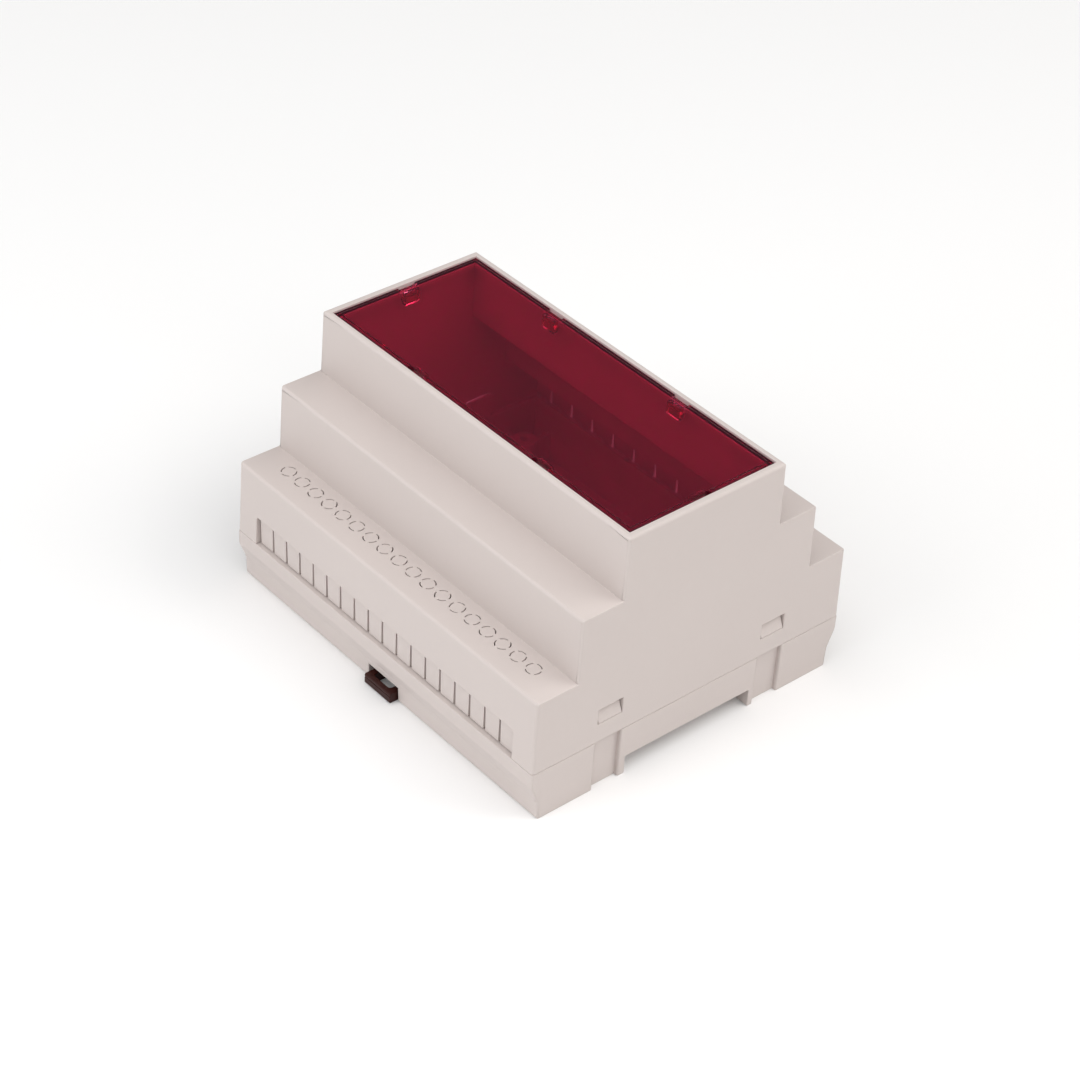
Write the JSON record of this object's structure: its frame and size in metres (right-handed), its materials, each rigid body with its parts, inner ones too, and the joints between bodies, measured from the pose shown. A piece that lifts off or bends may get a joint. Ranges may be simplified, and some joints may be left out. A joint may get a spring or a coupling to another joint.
{
  "type": "din rail enclosure",
  "caption": "Stepped snap-together enclosure for a top-hat rail, with break-out terminal tabs, round knock-outs, a clear red front plate and a sprung rail latch.",
  "frame": {"origin": "centre of the underside of the base, on the plane it stands on", "axes": "+X along the rail, +Y away from the side with the latch, +Z from the rail towards the window"},
  "size_m": [0.106, 0.0908, 0.0655],
  "materials": {
    "housing_plastic": "fine matt warm light grey",
    "red_clear_plastic": "polished deep red clear plastic",
    "latch_plastic": "matt black"
  },
  "bodies": {
    "housing": {"base": "housing_plastic", "cover": "housing_plastic", "filter_window": "red_clear_plastic"},
    "latch": {"rail_latch": "latch_plastic"}
  },
  "joints": [
    {"name": "latch_slide", "type": "slide", "parent": "housing", "child": "latch", "axis": [0, -1, 0], "range_m": [0, 0.0035], "stiffness_N_per_m": 1200, "springref_m": -0.001}
  ]
}
